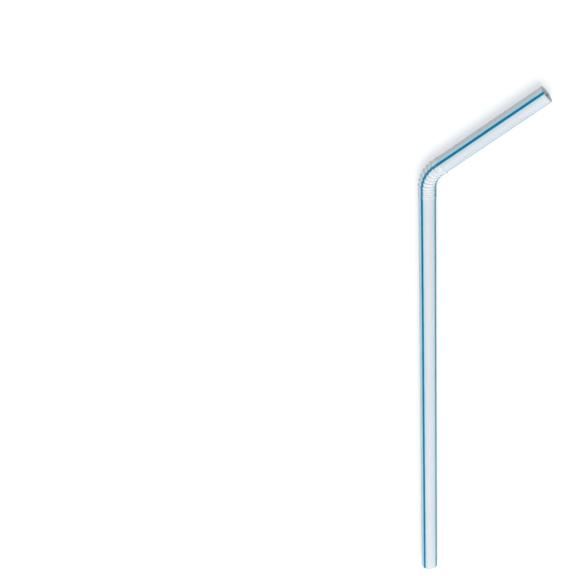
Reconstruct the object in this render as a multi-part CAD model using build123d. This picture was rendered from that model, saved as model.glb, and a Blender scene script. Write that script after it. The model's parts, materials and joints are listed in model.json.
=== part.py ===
"""A plastic drinking straw with a pleated neck, bent as in use and lying on its side.

Millimetres, +Z up. The straw lies on z = 0 with its bend in the horizontal plane. The lower
run points along +Y, from the foot to the neck, and the neck turns the upper run towards +X.
The origin is the middle of the straw's box, on the surface that it lies on.

One wall makes the whole straw. In each plain run it is a round tube. In the neck it is
folded into pleats, and each pleat is a stiff cone that widens from a valley to a ridge, with
a short skirt that ties the ridge to the next valley. A closed pleat has that valley tucked
back inside the ridge. The bend closes the pleats on its near side and pulls them open on
its far side. The first pleat has no valley, because it flares straight out of the lower run.
"""

import math
import os

from build123d import *

# Plain tube
TUBE_DIAMETER = 6.0      # outside
TUBE_WALL = 0.18
LOWER_RUN = 155.0        # foot to neck
UPPER_RUN = 41.0         # neck to mouth

# Pleated neck
NECK_BEND = 53.0         # degrees turned, from the lower run to the upper run
PLEATS_BELOW = 5         # closed pleats between the lower run and the bend
PLEATS_BENT = 6          # pleats that share the bend
PLEATS_ABOVE = 1         # closed pleats between the bend and the upper run
PLEAT_PITCH = 0.85       # ridge to ridge where closed
PLEAT_TUCK = 0.44        # how far a closed valley sits back behind its ridge
PLEAT_RISE = 0.18        # how far the middle of a ridge's wall stands out of the tube
PLEAT_DEPTH = 0.46       # ridge to valley, across the axis
PLEAT_WALL = 0.11
SHOULDER = 0.6           # sloped wall between the last ridge and the upper run

TUBE_RADIUS = TUBE_DIAMETER / 2
BORE_RADIUS = TUBE_RADIUS - TUBE_WALL
RIDGE_RADIUS = TUBE_RADIUS + PLEAT_RISE      # to the middle of the wall, as is the next one
VALLEY_RADIUS = RIDGE_RADIUS - PLEAT_DEPTH
CONE_LENGTH = PLEAT_PITCH + PLEAT_TUCK       # valley to ridge, along the axis

FAR, NEAR = 1, -1        # the sides of the bend: outside it and inside it
UP = Vector(0, 0, 1)


def heading(turn):
    """The direction of the straw's axis after turning by so many degrees towards +X."""
    return Vector(0, 1, 0).rotate(Axis.Z, -turn)


def outward(turn):
    """The direction from the axis to the far side of the bend."""
    return Vector(-1, 0, 0).rotate(Axis.Z, -turn)


def neck_places():
    """Each pleat's place: the centre of its valley, and how far the axis has turned there."""
    centre = heading(0) * LOWER_RUN
    turn = 0.0
    places = [(centre, turn)]
    for pleat in range(1, PLEATS_BELOW + PLEATS_BENT + PLEATS_ABOVE):
        centre = centre + heading(turn) * PLEAT_PITCH
        if PLEATS_BELOW <= pleat < PLEATS_BELOW + PLEATS_BENT:
            # a bent pleat swings open about the near side, where the ridges stay closed
            hinge = centre - outward(turn) * RIDGE_RADIUS
            turn += NECK_BEND / PLEATS_BENT
            centre = hinge + outward(turn) * RIDGE_RADIUS
        places.append((centre, turn))
    return places


def at(place, side, radius, along):
    """A point in the plane of the bend, on one side of the axis."""
    centre, turn = place
    return centre + heading(turn) * along + outward(turn) * (side * radius)


def fold_line(places, side):
    """The middle of the neck's wall on one side: lower run, ridge, valley, ridge, ... , upper run."""
    middle_radius = (TUBE_RADIUS + BORE_RADIUS) / 2
    line = [at(places[0], side, middle_radius, 0), at(places[0], side, RIDGE_RADIUS, CONE_LENGTH)]
    for place in places[1:]:
        line.append(at(place, side, VALLEY_RADIUS, 0))
        line.append(at(place, side, RIDGE_RADIUS, CONE_LENGTH))
    line.append(at(places[-1], side, middle_radius, CONE_LENGTH + SHOULDER))
    return line


def fold_corners(before, fold, after):
    """The wall's faces at one fold: the crease inside it, and the two corners of its blunt nose."""
    back = (before - fold).normalized()
    onward = (after - fold).normalized()
    inside = (back + onward).normalized()
    half_angle = math.radians(back.get_angle(onward)) / 2
    crease = fold + inside * (PLEAT_WALL / 2 / math.sin(half_angle))
    nose = fold - inside * (PLEAT_WALL / 2)
    half_width = PLEAT_WALL / 2 * math.tan(math.pi / 4 - half_angle / 2)
    along_nose = (onward - back).normalized()
    return crease, nose - along_nose * half_width, nose + along_nose * half_width


def neck_faces(line):
    """The neck's outer and inner corners on one side, between the two plain runs."""
    outer, inner = [], []
    for i in range(1, len(line) - 1):
        crease, nose_start, nose_end = fold_corners(*line[i - 1 : i + 2])
        is_valley = i % 2 == 0
        outer += [crease] if is_valley else [nose_start, nose_end]
        inner += [nose_start, nose_end] if is_valley else [crease]
    return outer, inner


def ring(far, near):
    """The circle that crosses the plane of the bend at these two points."""
    across = far - near
    plane = Plane(origin=(far + near) / 2, x_dir=across, z_dir=across.cross(UP))
    return Wire.make_circle(across.length / 2, plane)


def plain_ring(place, radius, along):
    """A circle round the axis of a plain run."""
    return ring(at(place, FAR, radius, along), at(place, NEAR, radius, along))


def skin(places, radius, corners_far, corners_near):
    """One side of the wall, from foot to mouth: its faces, and the rings at its two ends."""
    foot = plain_ring(places[0], radius, -LOWER_RUN)
    neck_start = plain_ring(places[0], radius, 0)
    neck_end = plain_ring(places[-1], radius, CONE_LENGTH + SHOULDER)
    mouth = plain_ring(places[-1], radius, CONE_LENGTH + SHOULDER + UPPER_RUN)
    folds = [ring(far, near) for far, near in zip(corners_far, corners_near)]
    rings = [neck_start, *folds, neck_end]
    flanks = [Shell.make_loft(pair, ruled=True) for pair in zip(rings, rings[1:])]
    lower = Shell.extrude(foot, heading(0) * LOWER_RUN)
    upper = Shell.extrude(neck_end, heading(NECK_BEND) * UPPER_RUN)
    faces = [face for shell in (lower, *flanks, upper) for face in shell.faces()]
    return faces, foot, mouth


def make_straw():
    """The straw as one closed solid, before it is moved to its origin."""
    places = neck_places()
    outer_far, inner_far = neck_faces(fold_line(places, FAR))
    outer_near, inner_near = neck_faces(fold_line(places, NEAR))
    outside, foot, mouth = skin(places, TUBE_RADIUS, outer_far, outer_near)
    bore, foot_bore, mouth_bore = skin(places, BORE_RADIUS, inner_far, inner_near)
    foot_rim = Face(foot, [foot_bore])
    mouth_rim = Face(mouth, [mouth_bore])
    return Solid(Shell([*outside, *bore, foot_rim, mouth_rim]))


straw = make_straw()
box = straw.bounding_box()
straw = straw.moved(Location((-box.center().X, -box.center().Y, -box.min.Z)))

os.makedirs("parts", exist_ok=True)
export_step(straw, "parts/straw_tube.step")
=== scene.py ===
# %% [markdown]
# # A striped drinking straw with a pleated neck
# This lesson builds one bendy straw in Blender and lights it on a pale table. The straw is a
# single piece of polypropylene: a thin tube with coloured stripes melted into its wall and a
# neck of small folds that lets it bend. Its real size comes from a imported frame, so the first
# cell loads that frame and keeps the box that the finished mesh has to stay inside.

# %% Load the frame
import json
import math

import bpy
from mathutils import Matrix, Vector


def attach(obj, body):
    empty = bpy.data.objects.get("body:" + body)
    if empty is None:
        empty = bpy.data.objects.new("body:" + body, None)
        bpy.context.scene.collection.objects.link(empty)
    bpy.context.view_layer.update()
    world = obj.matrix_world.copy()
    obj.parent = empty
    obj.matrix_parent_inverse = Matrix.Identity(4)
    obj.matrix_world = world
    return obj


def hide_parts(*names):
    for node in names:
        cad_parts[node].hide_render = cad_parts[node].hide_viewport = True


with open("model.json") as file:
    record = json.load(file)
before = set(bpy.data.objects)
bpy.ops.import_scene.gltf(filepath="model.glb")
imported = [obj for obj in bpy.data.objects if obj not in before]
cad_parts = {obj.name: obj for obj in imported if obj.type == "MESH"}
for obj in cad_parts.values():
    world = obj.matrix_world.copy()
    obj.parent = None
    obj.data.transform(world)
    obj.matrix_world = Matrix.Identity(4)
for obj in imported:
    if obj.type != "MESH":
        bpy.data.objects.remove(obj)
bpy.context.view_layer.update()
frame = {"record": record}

MM = 0.001


# %% [markdown]
# ## Where the straw lies
# A straw can't stand on its end, so it lies on its side, with the bend flat on the table. The
# frame's record holds four mounts: the open bore at each end and the plain outside of each
# run. Those say where the foot is, how long the plain runs are, how thick the wall is and
# which way the upper run points. Reading them here means that nothing has to be fitted later.

# %% Read the straw's sizes
mounts = {mount["name"]: mount for mount in frame["record"]["mounts"]}
foot = Vector(mounts["foot_bore"]["pos_m"])
mouth_axis = Vector(mounts["mouth_bore"]["axis"])
lower_run = mounts["foot_bore"]["dims"]["length_mm"] * MM
upper_run = mounts["mouth_bore"]["dims"]["length_mm"] * MM
tube_radius = mounts["lower_outside"]["dims"]["r_mm"] * MM
tube_wall = tube_radius - mounts["foot_bore"]["dims"]["r_mm"] * MM
neck_bend = math.atan2(mouth_axis.x, mouth_axis.y)
print(f"tube {2 * tube_radius / MM:.2f} mm across, wall {tube_wall / MM:.2f} mm")
print(f"the neck turns {math.degrees(neck_bend):.0f} degrees")

# %% [markdown]
# ## Small tools for node trees
# Both the mesh and the finish are made of nodes. Written out one by one, nodes hide the idea
# that they carry, so these helpers add a node and fill its inputs in a single line. A value
# is typed into a socket, and another node's output is linked to it. Some nodes keep sockets
# that their present options don't use, so a socket is looked up among those in use.


# %% Helpers for nodes
def fill(socket, given):
    """Link another node's output to this socket, or type a plain value into it."""
    if isinstance(given, bpy.types.NodeSocket):
        socket.id_data.links.new(given, socket)
    else:
        socket.default_value = given


def in_use(sockets, name):
    """The socket in use that has this name, or this number in their row."""
    shown = [socket for socket in sockets if socket.enabled]
    if isinstance(name, int):
        return shown[name]
    return next(socket for socket in shown if socket.name == name)


def add(tree, kind, inputs=None, **options):
    """Add a node, set its options, and fill the inputs that are named or numbered."""
    node = tree.nodes.new(kind)
    for option, choice in options.items():
        setattr(node, option, choice)
    for name, given in (inputs or {}).items():
        fill(in_use(node.inputs, name), given)
    return node


def out(node, name=0):
    """One of a node's outputs, by its number or name."""
    return in_use(node.outputs, name)


# %% Helpers for sums
def maths(tree, operation, *terms):
    """A sum on plain numbers."""
    return out(add(tree, "ShaderNodeMath", dict(enumerate(terms)), operation=operation))


def vectors(tree, operation, *terms):
    """A sum on vectors. The last term of SCALE is a plain number."""
    return out(add(tree, "ShaderNodeVectorMath", dict(enumerate(terms)), operation=operation))


def vector(tree, x, y, z):
    """One vector from three numbers."""
    return out(add(tree, "ShaderNodeCombineXYZ", {"X": x, "Y": y, "Z": z}))


# %% [markdown]
# ## The rule of the pleats
# The neck is a stack of stiff little cones. Each widens from a valley to a ridge, and a short
# skirt joins that ridge to the next valley. In a closed pleat the skirt is turned inside the
# ridge, and where the neck is bent it is pulled out on the far side only. So a pleat is
# known from its place and from how far the axis has turned there.
#
# The shape could be drawn by hand, but a rule that repeats is what Geometry Nodes are for. The
# tree works in four steps: the places of the pleats, the line of folds down each side of the
# bend, the rings between the two lines, and the two faces of the wall. Its sizes are named
# inputs, so that one changed number rebuilds the straw.

# %% Open the tree and name its sizes
STRAW_SIZES = {
    "Foot": tuple(foot),
    "Lower run": lower_run,
    "Upper run": upper_run,
    "Tube radius": tube_radius,
    "Tube wall": tube_wall,
    "Neck bend": neck_bend,
    "Pleats below": 5,            # closed all round, next to the lower run
    "Pleats bent": 6,             # pulled open on the far side
    "Pleats above": 1,
    "Pleat pitch": 0.85 * MM,     # from one closed ridge to the next
    "Pleat tuck": 0.44 * MM,      # how far a closed skirt goes back inside its ridge
    "Pleat rise": 0.18 * MM,      # of a ridge above the plain tube
    "Pleat depth": 0.46 * MM,     # from a ridge in to a valley
    "Pleat wall": 0.11 * MM,
    "Shoulder": 0.60 * MM,        # from the last ridge to the plain tube
    "Fold radius": 0.11 * MM,
    "Shoulder radius": 0.60 * MM,
    "Fold steps": 5,
    "Flank cuts": 2,
    "Run cuts": 60,
    "Spokes": 88,
}
SOCKET_KINDS = {tuple: "NodeSocketVector", float: "NodeSocketFloat", int: "NodeSocketInt"}

straw_tree = bpy.data.node_groups.new("pleated_straw", "GeometryNodeTree")
straw_tree.interface.new_socket("Straw", in_out="OUTPUT", socket_type="NodeSocketGeometry")
for name, size in STRAW_SIZES.items():
    straw_tree.interface.new_socket(name, in_out="INPUT", socket_type=SOCKET_KINDS[type(size)])
sizes = straw_tree.nodes.new("NodeGroupInput").outputs
print(len(STRAW_SIZES), "named sizes")


# %% Helpers for the straw's tree
def number(operation, *terms):
    """A sum on plain numbers in the straw's tree."""
    return maths(straw_tree, operation, *terms)


def point_sum(operation, *terms):
    """A sum on points in the straw's tree."""
    return vectors(straw_tree, operation, *terms)


def result(kind, inputs=None, name=0, **options):
    """What a new geometry node in the straw's tree gives."""
    return out(add(straw_tree, "GeometryNode" + kind, inputs, **options), name)


index = result("InputIndex")
position = result("InputPosition")


# %% [markdown]
# ### Step 1: the place of each pleat
# A bent pleat swings about its near side, where the ridges stay closed. Every swing adds the
# same angle. The centre of a valley is then the foot's end of the neck, plus all the steps of
# one pitch so far, plus what the swings have moved it sideways. *Accumulate Field* adds up
# the steps, so no loop is needed.


# %% Directions after a turn
def heading(turn):
    """The axis's direction after a turn: +Y at first, then towards +X."""
    return vector(straw_tree, number("SINE", turn), number("COSINE", turn), 0.0)


def outward(turn):
    """From the axis to the far side of the bend: -X at first, then towards +Y."""
    across = number("MULTIPLY", number("COSINE", turn), -1.0)
    return vector(straw_tree, across, number("SINE", turn), 0.0)


NEAR_SIDE = (1.0, 0.0, 0.0)   # from the axis to the near side, before any turn

# %% Places of the pleats
pleats_to_bend_end = number("ADD", sizes["Pleats below"], sizes["Pleats bent"])
pleat_count = number("ADD", pleats_to_bend_end, sizes["Pleats above"])
ridge_radius = number("ADD", sizes["Tube radius"], sizes["Pleat rise"])
valley_radius = number("SUBTRACT", ridge_radius, sizes["Pleat depth"])
cone_length = number("ADD", sizes["Pleat pitch"], sizes["Pleat tuck"])

last_straight = number("SUBTRACT", sizes["Pleats below"], 1.0)
swings = number("MAXIMUM", number("SUBTRACT", index, last_straight), 0.0)
swings = number("MINIMUM", swings, sizes["Pleats bent"])
swing_angle = number("DIVIDE", sizes["Neck bend"], sizes["Pleats bent"])
pleat_turn = number("MULTIPLY", swings, swing_angle)

one_step = point_sum("SCALE", heading(pleat_turn), sizes["Pleat pitch"])
steps = result("AccumulateField", {0: one_step}, "Trailing", data_type="FLOAT_VECTOR")
swing_shift = point_sum("SCALE", point_sum("ADD", outward(pleat_turn), NEAR_SIDE), ridge_radius)
neck_start = vector(straw_tree, 0.0, sizes["Lower run"], 0.0)
pleat_centre = point_sum("ADD", neck_start, point_sum("ADD", steps, swing_shift))

pleats = result("MeshLine", {"Count": pleat_count})
pleats = result("SetPosition", {"Geometry": pleats, "Position": pleat_centre})
each_swing = math.degrees(neck_bend) / STRAW_SIZES["Pleats bent"]
print(f"each bent pleat swings {each_swing:.1f} degrees")

# %% [markdown]
# ### Step 2: the fold line on each side
# Cut the straw along the plane of its bend and the wall shows as two zigzag lines. Each line
# has the same points in the same order: the foot's rim, just inside it, the neck's start and
# its first ridge, then valley and ridge again and again, the shoulder, just inside the mouth
# and the mouth's rim. *Index Switch* gives each kind of point its own distance along the
# axis, radius, thickness and rounding.
#
# A fold in real plastic is never sharp, so *Fillet Curve* rounds it. Both lines get the same
# number of points at each fold, which is what lets rings be strung between them.

# %% Sizes at the folds
RIM_BEVEL = 0.025 * MM
NO_ROUNDING = 0.0

to_foot = number("MULTIPLY", sizes["Lower run"], -1.0)
neck_end = number("ADD", cone_length, sizes["Shoulder"])
to_mouth = number("ADD", neck_end, sizes["Upper run"])
inside_foot = number("ADD", to_foot, RIM_BEVEL)
inside_mouth = number("SUBTRACT", to_mouth, RIM_BEVEL)

half_tube = number("MULTIPLY", sizes["Tube wall"], 0.5)
half_pleat = number("MULTIPLY", sizes["Pleat wall"], 0.5)
half_rim = number("SUBTRACT", half_tube, RIM_BEVEL)
middle_radius = number("SUBTRACT", sizes["Tube radius"], half_tube)
soft = sizes["Shoulder radius"]
crease = sizes["Fold radius"]
print(f"rims bevelled by {RIM_BEVEL / MM} mm")

# %% Kinds of point on a fold line
FOLD_POINTS = {
    # kind: distance along the axis, radius, half of the wall, 1 where it was worked, rounding
    "foot's rim": (to_foot, middle_radius, half_rim, 0.0, NO_ROUNDING),
    "inside the foot": (inside_foot, middle_radius, half_tube, 0.0, NO_ROUNDING),
    "neck's start": (0.0, middle_radius, half_tube, 0.0, soft),
    "valley": (0.0, valley_radius, half_pleat, 1.0, crease),
    "ridge": (cone_length, ridge_radius, half_pleat, 1.0, crease),
    "shoulder": (neck_end, middle_radius, half_tube, 0.0, soft),
    "inside the mouth": (inside_mouth, middle_radius, half_tube, 0.0, NO_ROUNDING),
    "mouth's rim": (to_mouth, middle_radius, half_rim, 0.0, NO_ROUNDING),
}
kinds = list(FOLD_POINTS)
NECK_START = float(kinds.index("neck's start"))
VALLEY = float(kinds.index("valley"))
SHOULDER = float(kinds.index("shoulder"))
POINTS_PER_PLEAT = 2.0   # a valley and a ridge
HALF_STEP = 0.5          # between two numbers of points, where a test is safe
print(len(kinds), "kinds of point on a fold line")


# %% Which kind each point is
def either(test, if_true, if_false):
    """One of two numbers, by a test that gives 1 or 0."""
    otherwise = number("MULTIPLY", number("SUBTRACT", 1.0, test), if_false)
    return number("ADD", number("MULTIPLY", test, if_true), otherwise)


folds_end = number("ADD", number("MULTIPLY", pleat_count, POINTS_PER_PLEAT), NECK_START)
fold_count = number("ADD", folds_end, len(kinds) - SHOULDER)
is_before = number("LESS_THAN", index, NECK_START + HALF_STEP)
is_after = number("GREATER_THAN", index, number("SUBTRACT", folds_end, HALF_STEP))

past_start = number("SUBTRACT", index, NECK_START)
in_neck = number("ADD", number("FLOORED_MODULO", past_start, POINTS_PER_PLEAT), VALLEY)
after_neck = number("ADD", number("SUBTRACT", index, folds_end), SHOULDER)
point_kind = either(is_before, index, either(is_after, after_neck, in_neck))

pleat_index = number("FLOOR", number("DIVIDE", past_start, POINTS_PER_PLEAT))
last_pleat = number("SUBTRACT", pleat_count, 1.0)
pleat_index = number("MINIMUM", number("MAXIMUM", pleat_index, 0.0), last_pleat)
pleats_made = sum(STRAW_SIZES[name] for name in ("Pleats below", "Pleats bent", "Pleats above"))
print(pleats_made, "pleats, from valley to ridge")


# %% Read the table by kind
def pick(chosen, choices, data_type="FLOAT"):
    """The choice whose number is given."""
    node = straw_tree.nodes.new("GeometryNodeIndexSwitch")
    node.data_type = data_type
    while len(node.index_switch_items) < len(choices):
        node.index_switch_items.new()
    fill(node.inputs["Index"], chosen)
    for place, choice in enumerate(choices):
        fill(node.inputs[str(place)], choice)
    return out(node)


fold_along, fold_radius, half_wall, worked, rounding = (
    pick(point_kind, column) for column in zip(*FOLD_POINTS.values())
)
corner_steps = [
    0 if row[-1] == NO_ROUNDING else sizes["Fold steps"] for row in FOLD_POINTS.values()
]
round_steps = pick(point_kind, corner_steps, data_type="INT")


# %% Helpers for values on the geometry
def sample(geometry, value, place, data_type="FLOAT_VECTOR"):
    """A value read from one numbered point of a line."""
    inputs = {"Geometry": geometry, "Value": value, "Index": place}
    return result("SampleIndex", inputs, data_type=data_type, clamp=True)


def store(geometry, name, value, data_type="FLOAT", domain="POINT"):
    """The geometry with a value kept on it under a name."""
    inputs = {"Geometry": geometry, "Name": name, "Value": value}
    return result("StoreNamedAttribute", inputs, data_type=data_type, domain=domain)


def stored(name):
    """A number that was stored on the fold lines."""
    return result("InputNamedAttribute", {"Name": name}, data_type="FLOAT")


# %% Draw the two fold lines
fold_centre = sample(pleats, position, pleat_index)
fold_turn = sample(pleats, pleat_turn, pleat_index, "FLOAT")


def zigzag(side):
    """The middle of the wall on one side of the bend, from foot to mouth, with sharp folds."""
    along = point_sum("SCALE", heading(fold_turn), fold_along)
    aside = point_sum("SCALE", outward(fold_turn), number("MULTIPLY", fold_radius, side))
    place = point_sum("ADD", point_sum("ADD", fold_centre, along), aside)
    line = result("MeshLine", {"Count": fold_count})
    line = result("SetPosition", {"Geometry": line, "Position": place})
    line = result("MeshToCurve", {0: line})
    line = store(line, "half_wall", half_wall)
    return store(line, "worked", worked)


def rounded(line):
    """A zigzag with its folds rounded."""
    inputs = {"Curve": line, "Count": round_steps, "Radius": rounding, "Limit Radius": True}
    return result("FilletCurve", inputs, mode="POLY")


# %% Cut the flanks and runs
LOWER_RUN_START = 1.0     # the point that the lower run starts from
UPPER_RUN_BACK = 3.0      # the upper run starts from the third point, counted from the mouth
LOWER_RUN_TIMES = 3.0     # as many cuts as the upper run has, because it is longer


def point_count(line):
    """How many points a line has."""
    return result("AttributeDomainSize", {0: line}, "Point Count", component="CURVE")


def cut_up(line):
    """A rounded line with short stretches on its flanks and runs too."""
    points_in_fold = number("ADD", sizes["Fold steps"], 1.0)
    past_foot = number("SUBTRACT", index, NECK_START)
    place_in_fold = number("FLOORED_MODULO", past_foot, points_in_fold)
    is_flank = number("COMPARE", place_in_fold, sizes["Fold steps"], HALF_STEP)
    is_lower = number("COMPARE", index, LOWER_RUN_START, HALF_STEP)
    upper_run_start = number("SUBTRACT", point_count(line), UPPER_RUN_BACK)
    is_upper = number("COMPARE", index, upper_run_start, HALF_STEP)
    lower_cuts = number("MULTIPLY", sizes["Run cuts"], LOWER_RUN_TIMES)
    run_cuts = either(is_lower, lower_cuts, sizes["Run cuts"])
    flank_cuts = number("MULTIPLY", is_flank, sizes["Flank cuts"])
    cuts = either(number("MAXIMUM", is_lower, is_upper), run_cuts, flank_cuts)
    return result("SubdivideCurve", {"Curve": line, "Cuts": cuts})


FAR, NEAR = 1.0, -1.0
far_line = cut_up(rounded(zigzag(FAR)))
near_line = cut_up(rounded(zigzag(NEAR)))
print(len(straw_tree.nodes), "nodes draw the two fold lines")

# %% [markdown]
# ### Step 3: rings between the lines
# Every point on the far line has a partner on the near line, and a ring of the straw crosses
# the bend from one to the other. A flat grid is wrapped onto those rings: its rows become the
# stations along the straw and its columns the spokes round it. The rows run up the outside of
# the wall, turn over the mouth's rim and come back down the bore, so that one grid makes a
# closed wall with a real thickness.

# %% Number the stations and spokes
line_size = point_count(far_line)
stations = number("ADD", line_size, line_size)   # up the outside and back down the bore
columns = number("ADD", sizes["Spokes"], 1.0)
rows = number("ADD", stations, 1.0)
grid = result("MeshGrid", {"Vertices X": rows, "Vertices Y": columns})

row = number("FLOOR", number("DIVIDE", number("ADD", index, HALF_STEP), columns))
station = number("FLOORED_MODULO", row, stations)
spoke = number("FLOORED_MODULO", index, columns)
in_bore = number("GREATER_THAN", station, number("SUBTRACT", line_size, HALF_STEP))
back_down = number("SUBTRACT", number("SUBTRACT", stations, 1.0), station)
line_place = either(in_bore, back_down, station)
face_side = either(in_bore, -1.0, 1.0)
print(STRAW_SIZES["Spokes"], "spokes in every ring")

# %% Points of the wall on each fold line
tangent = result("InputTangent")
tangent_parts = add(straw_tree, "ShaderNodeSeparateXYZ", {0: tangent})


def wall_point(line, side):
    """A point on the outside or in the bore, half a wall away from the fold line."""
    across_x = number("MULTIPLY", out(tangent_parts, "Y"), -side)
    across_y = number("MULTIPLY", out(tangent_parts, "X"), side)
    across = vector(straw_tree, across_x, across_y, 0.0)
    shift = sample(line, point_sum("SCALE", across, stored("half_wall")), line_place)
    middle = sample(line, position, line_place)
    return point_sum("ADD", middle, point_sum("SCALE", shift, face_side))


far_point = wall_point(far_line, FAR)
near_point = wall_point(near_line, NEAR)

# %% String the rings
ring_centre = point_sum("SCALE", point_sum("ADD", far_point, near_point), 0.5)
ring_reach = point_sum("SCALE", point_sum("SUBTRACT", far_point, near_point), 0.5)
turn_share = number("DIVIDE", spoke, sizes["Spokes"])
spoke_angle = number("MULTIPLY", turn_share, math.tau)

ring_level = point_sum("SCALE", ring_reach, number("COSINE", spoke_angle))
ring_height = number("MULTIPLY", point_sum("LENGTH", ring_reach), number("SINE", spoke_angle))
ring_point = point_sum("ADD", ring_centre, ring_level)
ring_point = point_sum("ADD", ring_point, vector(straw_tree, 0.0, 0.0, ring_height))
print(f"{360 / STRAW_SIZES['Spokes']:.1f} degrees from one spoke to the next")

# %% [markdown]
# ### Step 4: what the finish needs to know
# The finish reads a UV map and three numbers, which are stored on the mesh before its seam is
# merged. The UV map holds the share of a turn round the tube and the distance from the foot
# in metres, so the stripes can follow the straw round its bend. The number called fold says
# how sharply the wall turns there; the finish whitens the creases by it, partly because
# polypropylene whitens where it is folded hard and partly as painted light that lifts the
# shade in the grooves. The one called worked is 1 in the neck, where rolling the pleats drew
# out the wall, and the finish paints the neck paler by it, partly stress whitening and partly
# painted light. The one called bore is 1 inside the straw, which the finish paints paler,
# partly the stripes seen through the wall and partly painted light in the straw's shade.

# %% Work out the sharpness of the folds
TIGHT_FOLD = math.radians(28)   # a turn at one point that counts as fully sharp


def fold_sharpness(line):
    """How far the line turns at a point: 0 on a flank or a run, up to 1 on a tight fold."""
    before = sample(line, position, number("SUBTRACT", line_place, 1.0))
    here = sample(line, position, line_place)
    after = sample(line, position, number("ADD", line_place, 1.0))
    arrive = point_sum("NORMALIZE", point_sum("SUBTRACT", here, before))
    leave = point_sum("NORMALIZE", point_sum("SUBTRACT", after, here))
    dot = point_sum("DOT_PRODUCT", arrive, leave)
    turned = number("ARCCOSINE", number("MINIMUM", dot, 1.0))
    return number("MINIMUM", number("DIVIDE", turned, TIGHT_FOLD), 1.0)


far_share = number("MULTIPLY", number("ADD", number("COSINE", spoke_angle), 1.0), 0.5)
fold = either(far_share, fold_sharpness(far_line), fold_sharpness(near_line))
print(f"a turn of {math.degrees(TIGHT_FOLD):.0f} degrees at one point is a sharp fold")

# %% Store the UV map and the three numbers
run_length = result("SplineParameter", name="Length")
far_length = sample(far_line, run_length, line_place, "FLOAT")
near_length = sample(near_line, run_length, line_place, "FLOAT")
along = number("MULTIPLY", number("ADD", far_length, near_length), 0.5)
neck_share = sample(far_line, stored("worked"), line_place, "FLOAT")

marks = {"fold": fold, "worked": neck_share, "bore": in_bore}
wall = grid
for name, value in marks.items():
    wall = store(wall, name, value)
place_on_wall = vector(straw_tree, turn_share, along, 0.0)
place_on_wall = result("FieldOnDomain", {0: place_on_wall}, data_type="FLOAT_VECTOR", domain="POINT")
wall = store(wall, "UVMap", place_on_wall, data_type="FLOAT2", domain="CORNER")
place = point_sum("ADD", ring_point, sizes["Foot"])
wall = result("SetPosition", {"Geometry": wall, "Position": place})
print("stored on the wall: UVMap,", ", ".join(marks))

# %% [markdown]
# The seam and the closing row lie exactly on each other, so merging by a tiny distance closes
# the wall. The grid's rows and columns run so that its faces look into the wall, so they are
# flipped to look out of it, on the outside and in the bore alike. Edges sharper than a fold
# step are kept crisp: those are the cut rims.

# %% Close the wall and finish the tree
SEAM_GAP = 0.0005 * MM
CRISP_EDGE = math.radians(50)

wall = result("MergeByDistance", {"Geometry": wall, "Distance": SEAM_GAP})
wall = result("FlipFaces", {"Mesh": wall})
edge_angle = result("InputMeshEdgeAngle", name="Unsigned Angle")
is_smooth = number("LESS_THAN", edge_angle, CRISP_EDGE)
for domain, smooth in (("FACE", True), ("EDGE", is_smooth)):
    wall = result("SetShadeSmooth", {"Geometry": wall, "Shade Smooth": smooth}, domain=domain)
wall = result("RealizeInstances", {"Geometry": wall})

straw_plastic = bpy.data.materials.new("striped_polypropylene")
wall = result("SetMaterial", {"Geometry": wall, "Material": straw_plastic})
fill(straw_tree.nodes.new("NodeGroupOutput").inputs["Straw"], wall)
print(len(straw_tree.nodes), "nodes in the straw's tree")


# %% Run the tree and keep a plain mesh
def run_tree(name, tree, values):
    """Evaluate a tree on an empty object and keep its result as a plain mesh object."""
    carrier = bpy.data.objects.new(name + "_tree", bpy.data.meshes.new(name + "_empty"))
    bpy.context.collection.objects.link(carrier)
    modifier = carrier.modifiers.new(name, "NODES")
    modifier.node_group = tree
    for socket in tree.interface.items_tree:
        if socket.in_out == "INPUT":
            modifier[socket.identifier] = values[socket.name]
    graph = bpy.context.evaluated_depsgraph_get()
    mesh = bpy.data.meshes.new_from_object(carrier.evaluated_get(graph), depsgraph=graph)
    mesh.name = name
    bpy.data.objects.remove(carrier)
    made = bpy.data.objects.new(name, mesh)
    bpy.context.collection.objects.link(made)
    return made


straw = run_tree("straw", straw_tree, STRAW_SIZES)
print(f"straw: {len(straw.data.vertices)} points, {len(straw.data.polygons)} faces")

# %% [markdown]
# ## The plastic
# The wall is milky polypropylene, a little blue, and thin enough for light to soak through.
# A Principled shader with subsurface scattering gives that glow without making it clear.
# The four stripes were in the melt when the tube was drawn, so they have no step at their
# edge: the pigment fades out over about a third of a millimetre. The pale cyan band at that
# edge, brighter than the plain wall, is partly that fade and partly painted light: a glow of
# light scattered through the stripe's edge. The colour is worked out from the UV map, and so
# it passes through the pleats as it should.


# %% Colours of the melt
def linear(red, green, blue):
    """A colour given as 0 to 255 on screen, as the light values that a shader wants."""
    parts = [c / 255 for c in (red, green, blue)]
    return (*[c / 12.92 if c <= 0.04045 else ((c + 0.055) / 1.055) ** 2.4 for c in parts], 1.0)


STRIPE_TURNS = (59, 159, 248, 338)   # degrees round the tube from the bend's far side, over the top
RAMP_WIDTH = 1.6                     # mm from a stripe's centre that the ramp covers
STRIPE_RAMP = [                      # mm from the stripe's centre, and the colour there
    (0.00, linear(0, 119, 166)),
    (0.31, linear(0, 127, 174)),
    # painted light: the pale cyan stops beside the stripe, brighter than the plain wall, stand in
    # for light scattered through the stripe's edge
    (0.46, linear(108, 200, 234)),
    (0.60, linear(190, 242, 255)),
    (0.95, linear(210, 233, 245)),
    (1.50, linear(226, 233, 242)),
]
print(len(STRIPE_TURNS), "stripes")

# %% Distance from the nearest stripe
straw_plastic.use_nodes = True
finish = straw_plastic.node_tree
shader = finish.nodes["Principled BSDF"]


def shade(operation, *terms):
    """A sum on plain numbers in the straw's finish."""
    return maths(finish, operation, *terms)


uv_map = out(add(finish, "ShaderNodeUVMap", uv_map="UVMap"))
uv_parts = add(finish, "ShaderNodeSeparateXYZ", {0: uv_map})
around, distance = out(uv_parts, "X"), out(uv_parts, "Y")

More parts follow.
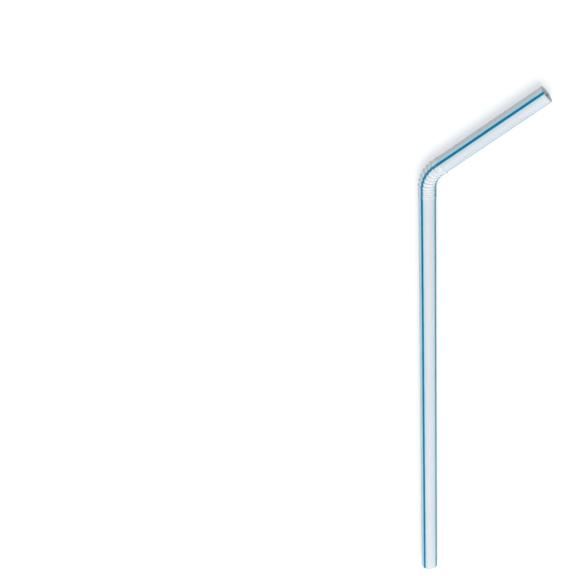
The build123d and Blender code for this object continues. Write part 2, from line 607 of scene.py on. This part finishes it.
nearest = 1.0
for turn in STRIPE_TURNS:
    apart = shade("SUBTRACT", around, turn / 360)
    apart = shade("ABSOLUTE", shade("SUBTRACT", apart, shade("ROUND", apart)))
    nearest = shade("MINIMUM", nearest, apart)
way_round = math.tau * tube_radius / MM
from_stripe = shade("MULTIPLY", nearest, way_round)
print(f"{way_round:.1f} mm round the tube")

# %% Noise that closes on itself
angle = shade("MULTIPLY", around, math.tau)
round_x, round_y = shade("COSINE", angle), shade("SINE", angle)


def noise(round_scale, along_scale, detail=2.0):
    """Noise that closes on itself round the tube, with its own scale along it, per millimetre."""
    radius = tube_radius / MM
    place = vector(
        finish,
        shade("MULTIPLY", round_x, round_scale * radius),
        shade("MULTIPLY", round_y, round_scale * radius),
        shade("MULTIPLY", distance, along_scale / MM),
    )
    return out(add(finish, "ShaderNodeTexNoise", {"Vector": place, "Scale": 1.0, "Detail": detail}))


# %% The stripes, with edges that wander a little
EDGE_WANDER = 0.10   # mm, from one side to the other

wander = shade("SUBTRACT", noise(round_scale=1.2, along_scale=0.35), 0.5)
from_edge = shade("ADD", from_stripe, shade("MULTIPLY", wander, EDGE_WANDER))
ramp = add(finish, "ShaderNodeValToRGB", {0: shade("DIVIDE", from_edge, RAMP_WIDTH)})
while len(ramp.color_ramp.elements) < len(STRIPE_RAMP):
    ramp.color_ramp.elements.new(0.5)
for stop, (reach, colour) in zip(ramp.color_ramp.elements, STRIPE_RAMP):
    stop.position = reach / RAMP_WIDTH
    stop.color = colour
print(len(ramp.color_ramp.elements), "colours from a stripe's centre to the plain wall")

# %% [markdown]
# The stripes lie in the outer part of the wall, so from inside the straw they show paler,
# through the milky plastic, and the whole bore is painted lighter too, as painted light in its
# shade. The neck is painted whiter than the runs and its creases whiter still: partly the
# plastic's stress whitening and partly painted light that lifts the shade in the grooves,
# though pigment hides most of that in the stripes.

# %% The bore, the neck and the creases
# painted light: these tints lighten the bore, the neck and the creases, partly for the plastic's
# real paleness and partly as painted light in their shade
BORE_PALENESS_AND_LIGHT = linear(244, 248, 252)
NECK_WHITENING_AND_LIGHT = linear(240, 245, 253)
CREASE_WHITENING_AND_LIGHT = linear(248, 251, 255)
BORE_PALENESS_AND_LIGHT_SHARE = 0.55                    # of its tint that the bore shows
NECK_WHITENING_AND_LIGHT_SHARE = 0.40
STRIPE_CREASE_SHARE = 0.25           # of a crease's whitening that shows in a stripe
PIGMENT_ENDS = (0.45, 1.0)           # mm from a stripe's centre that its pigment fades between


def mark(name):
    """One of the numbers that are stored on the mesh."""
    return out(add(finish, "ShaderNodeAttribute", attribute_name=name), "Fac")


def paler(colour, share, tint):
    """A colour mixed with so large a share of a paler one."""
    mix = add(finish, "ShaderNodeMix", data_type="RGBA")
    fill(mix.inputs["Factor"], share)
    first, second = [socket for socket in mix.inputs if socket.enabled and socket.name in "AB"]
    fill(first, colour)
    fill(second, tint)
    return out(mix)


fade_start, fade_end = PIGMENT_ENDS
beside_stripe = out(add(finish, "ShaderNodeMapRange", {
    "Value": from_stripe, "From Min": fade_start, "From Max": fade_end, "To Min": 0.0, "To Max": 1.0,
}))
# painted light: the neck is mixed towards white, partly the plastic's stress whitening and partly
# painted light that lifts the shade of the pleats
stretched_and_lit = shade("MULTIPLY", shade("MULTIPLY", mark("worked"), beside_stripe), NECK_WHITENING_AND_LIGHT_SHARE)
# painted light: the creases are mixed towards white, partly the plastic's stress whitening and
# partly painted light that lifts the shade in the grooves
creased_and_lit = shade("MULTIPLY", mark("fold"), shade("MAXIMUM", beside_stripe, STRIPE_CREASE_SHARE))
# painted light: the bore is mixed towards a paler tint, partly the stripes seen through the milky
# wall and partly painted light that lifts the shade inside the straw
wall_colour = paler(out(ramp), shade("MULTIPLY", mark("bore"), BORE_PALENESS_AND_LIGHT_SHARE), BORE_PALENESS_AND_LIGHT)
neck_colour = paler(wall_colour, stretched_and_lit, NECK_WHITENING_AND_LIGHT)
crease_colour = paler(neck_colour, creased_and_lit, CREASE_WHITENING_AND_LIGHT)
print(f"whitening grows over {fade_end - fade_start:.2f} mm beside a stripe")

# %% [markdown]
# The melt is never quite even, so its colour shifts by a percent or two. The die that the tube
# came through leaves fine lines along it. They are far too shallow to model, and a bump of a
# few thousandths of a millimetre is enough to break the shine.

# %% Unevenness, shine and die lines
CLOUD_LOWEST, CLOUD_RANGE = 0.985, 0.03    # of the colour's brightness
ROUGHNESS = 0.27                           # where nothing adds to it
HANDLING_ROUGHNESS = 0.10
DIE_ROUGHNESS = 0.06
DIE_LINE_DEPTH = 0.006 * MM
DIE_LINE_STRENGTH = 0.35
POLYPROPYLENE_IOR = 1.49
SHINE = 0.18

clouds = noise(round_scale=0.3, along_scale=0.05)
brightness = shade("ADD", CLOUD_LOWEST, shade("MULTIPLY", clouds, CLOUD_RANGE))
cloudy = add(finish, "ShaderNodeHueSaturation", {"Color": crease_colour, "Value": brightness})
fill(shader.inputs["Base Color"], out(cloudy))

die_lines = noise(round_scale=9.0, along_scale=0.02, detail=3.0)
handling = noise(round_scale=0.8, along_scale=0.5, detail=4.0)
handled = shade("MULTIPLY", handling, HANDLING_ROUGHNESS)
drawn = shade("MULTIPLY", die_lines, DIE_ROUGHNESS)
fill(shader.inputs["Roughness"], shade("ADD", ROUGHNESS, shade("ADD", handled, drawn)))
bump = add(finish, "ShaderNodeBump", {
    "Strength": DIE_LINE_STRENGTH, "Distance": DIE_LINE_DEPTH, "Height": die_lines,
})
fill(shader.inputs["Normal"], out(bump))
shader.inputs["IOR"].default_value = POLYPROPYLENE_IOR
shader.inputs["Specular IOR Level"].default_value = SHINE
print(f"roughness {ROUGHNESS} to {ROUGHNESS + HANDLING_ROUGHNESS + DIE_ROUGHNESS:.2f}")

# %% [markdown]
# Light goes into the wall and comes out a little way off. The neck's wall is thinner, so more
# light would be lost through it, but stretched plastic is cloudier and sends light back
# sooner. The scattering distance is therefore shorter there.

# %% Light in the wall
SCATTER = 0.40 * MM        # in the plain runs
NECK_SCATTER = 0.12 * MM
SCATTERED_SHARE = 0.75     # of the light that meets the wall
EVEN_SPREAD = (1.0, 1.0, 1.0)

scatter_change = shade("MULTIPLY", mark("worked"), NECK_SCATTER - SCATTER)
fill(shader.inputs["Subsurface Scale"], shade("ADD", scatter_change, SCATTER))
shader.inputs["Subsurface Weight"].default_value = SCATTERED_SHARE
shader.inputs["Subsurface Radius"].default_value = EVEN_SPREAD
print(len(finish.nodes), "nodes in the straw's finish")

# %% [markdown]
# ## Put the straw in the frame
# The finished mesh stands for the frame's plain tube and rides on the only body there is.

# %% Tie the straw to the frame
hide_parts("straw_tube")
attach(straw, "root")
print(straw.name, "stands for straw_tube")

# %% [markdown]
# ## Table and light
# A pale plain table shows the straw's outline and takes its soft shadow. The table is made
# whiter for the camera only, by a little light of its own that other rays don't see, so the
# straw isn't lit any more than it should be. It is weaker under the straw, where the
# shadow falls, and grows with distance, so the table meets the white room with no horizon.


# %% The table
def make_table(half_side=3.0):
    """A flat square under the straw, so many metres from its middle to each side."""
    signs = ((-1, -1), (1, -1), (1, 1), (-1, 1))
    corners = [(x * half_side, y * half_side, 0) for x, y in signs]
    mesh = bpy.data.meshes.new("table")
    mesh.from_pydata(corners, [], [(0, 1, 2, 3)])
    table = bpy.data.objects.new("table", mesh)
    bpy.context.collection.objects.link(table)
    return table


table = make_table()
table_paint = bpy.data.materials.new("pale_table")
table_paint.use_nodes = True
table.data.materials.append(table_paint)
paint_tree = table_paint.node_tree
paint = paint_tree.nodes["Principled BSDF"]
paint.inputs["Base Color"].default_value = linear(196, 198, 200)
paint.inputs["Roughness"].default_value = 0.9
paint.inputs["Specular IOR Level"].default_value = 0.2
print("table", 2 * table.data.vertices[2].co.x, "m across")

# %% The table's own light
WHITE = (1.0, 1.0, 1.0, 1.0)
GLOW_FROM, GLOW_TO = 0.2, 0.8    # metres from the straw's middle that the glow grows between
GLOW_UNDER_STRAW = 0.5


def seen_by_eye(tree):
    """1 for rays that come from the camera, a mirror or glass, and 0 for rays that carry light."""
    path = add(tree, "ShaderNodeLightPath")
    seen = maths(tree, "MAXIMUM", path.outputs["Is Camera Ray"], path.outputs["Is Glossy Ray"])
    return maths(tree, "MAXIMUM", seen, path.outputs["Is Transmission Ray"])


table_point = out(add(paint_tree, "ShaderNodeTexCoord"), "Object")
from_middle = vectors(paint_tree, "LENGTH", table_point)
glow = out(add(paint_tree, "ShaderNodeMapRange", {
    "Value": from_middle, "From Min": GLOW_FROM, "From Max": GLOW_TO,
    "To Min": GLOW_UNDER_STRAW, "To Max": 1.0,
}))
paint.inputs["Emission Color"].default_value = WHITE
glow_seen = maths(paint_tree, "MULTIPLY", seen_by_eye(paint_tree), glow)
fill(paint.inputs["Emission Strength"], glow_seen)
print(f"the table glows at {GLOW_UNDER_STRAW} under the straw and 1.0 from {GLOW_TO} m away")


# %% Lamps
def lamp(name, place, side, power):
    """A square soft light that faces the middle of the straw."""
    light = bpy.data.lights.new(name, "AREA")
    light.shape = "SQUARE"
    light.size = side
    light.energy = power
    holder = bpy.data.objects.new(name, light)
    holder.location = place
    holder.rotation_euler = (-Vector(place)).to_track_quat("-Z", "Y").to_euler()
    bpy.context.collection.objects.link(holder)
    print(name, "gives", power, "W")


lamp("softbox_front", place=(0.22, -0.45, 1.10), side=0.9, power=10.0)
lamp("softbox_back", place=(-0.40, 0.70, 1.00), side=0.8, power=2.0)

# %% The room
ROOM_LIGHT = 0.40   # what the room gives the straw, while the camera sees it as white

world = bpy.data.worlds.new("white_room")
world.use_nodes = True
bpy.context.scene.world = world
room = world.node_tree
background = room.nodes["Background"]
background.inputs["Color"].default_value = WHITE
fill(background.inputs["Strength"], maths(room, "MAXIMUM", seen_by_eye(room), ROOM_LIGHT))
print(f"the room lights the straw at {ROOM_LIGHT:.0%} of white")

# %% [markdown]
# ## The camera
# The camera looks down on the straw from beyond its bend, so the neck and the mouth come
# nearer than the foot, as when an upright straw is seen from a little above. Its place is
# measured from the foot, and the lens is a long one, which keeps the tube almost parallel.

# %% Camera
LENS = 81.25          # mm
SENSOR = 36           # mm wide
EYE_FROM_FOOT = Vector((44.2, 327.8, 402.1)) * MM
TARGET_FROM_FOOT = Vector((-49.8, 118.4, 0.0)) * MM
PICTURE_UP = Vector((0.055, 1.0, 0.0))

eye = foot + EYE_FROM_FOOT
target = foot + TARGET_FROM_FOOT
look = (target - eye).normalized()
right = look.cross(PICTURE_UP).normalized()
up = right.cross(look)
camera = bpy.data.objects.new("camera", bpy.data.cameras.new("camera"))
camera.data.lens = LENS
camera.data.sensor_width = SENSOR
camera.data.clip_start = 0.01
camera.matrix_world = Matrix.Translation(eye) @ Matrix((right, up, -look)).transposed().to_4x4()
bpy.context.collection.objects.link(camera)
bpy.context.scene.camera = camera
bpy.context.scene.view_settings.view_transform = "Standard"
print(f"camera {(eye - target).length:.2f} m from where it looks")
